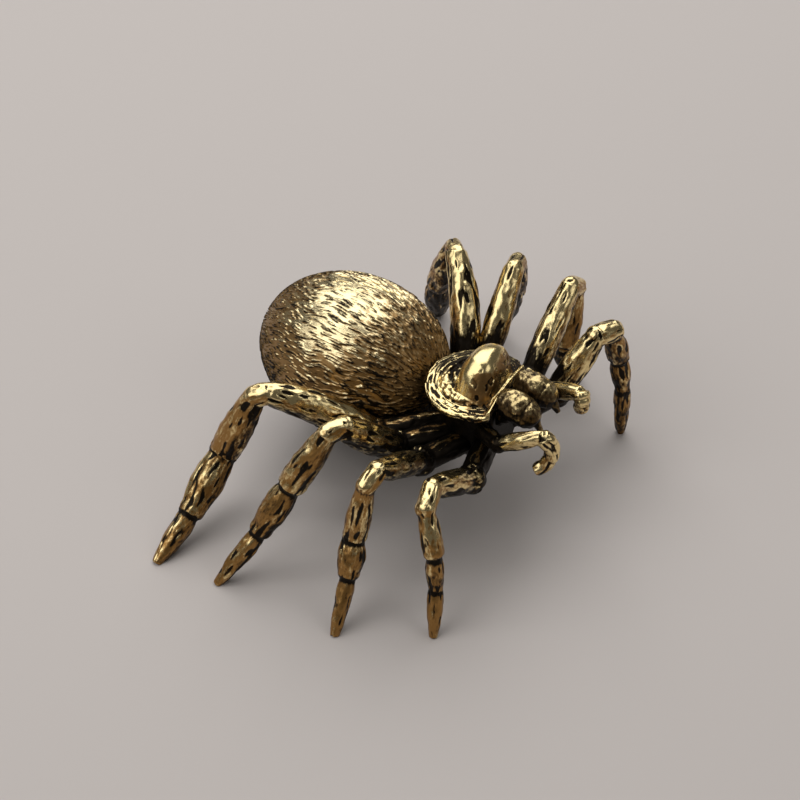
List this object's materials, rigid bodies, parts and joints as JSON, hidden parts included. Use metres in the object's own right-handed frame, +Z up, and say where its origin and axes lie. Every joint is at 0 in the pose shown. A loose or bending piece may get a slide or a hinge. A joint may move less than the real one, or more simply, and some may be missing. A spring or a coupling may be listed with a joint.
{
  "type": "spider figurine",
  "caption": "Small standing spider figurine in antiqued cast brass, with an engraved round abdomen, a domed shield and arched jointed legs, for display on a flat surface.",
  "frame": {"origin": "on the ground, under the middle of the figurine's box", "axes": "+Z up, the head towards -Y, the spider's left towards +X"},
  "size_m": [0.046, 0.0338, 0.0172],
  "materials": {
    "engraved_brass": "antiqued, polished on the high points, dark in the engraved strokes",
    "polished_brass": "polished, with dark patina in the pits and grooves",
    "leg_brass": "antiqued, mottled brown over polished gold",
    "dark_brass": "dark patina, worn bright on the high points"
  },
  "bodies": {
    "root": {"thorax": "dark_brass", "carapace": "polished_brass", "waist_stud": "dark_brass", "abdomen": "engraved_brass", "left_jaw": "dark_brass", "right_jaw": "dark_brass", "left_palp": "leg_brass", "right_palp": "leg_brass", "left_leg_1": "leg_brass", "left_leg_2": "leg_brass", "left_leg_3": "leg_brass", "left_leg_4": "leg_brass", "right_leg_1": "leg_brass", "right_leg_2": "leg_brass", "right_leg_3": "leg_brass", "right_leg_4": "leg_brass"}
  },
  "joints": []
}
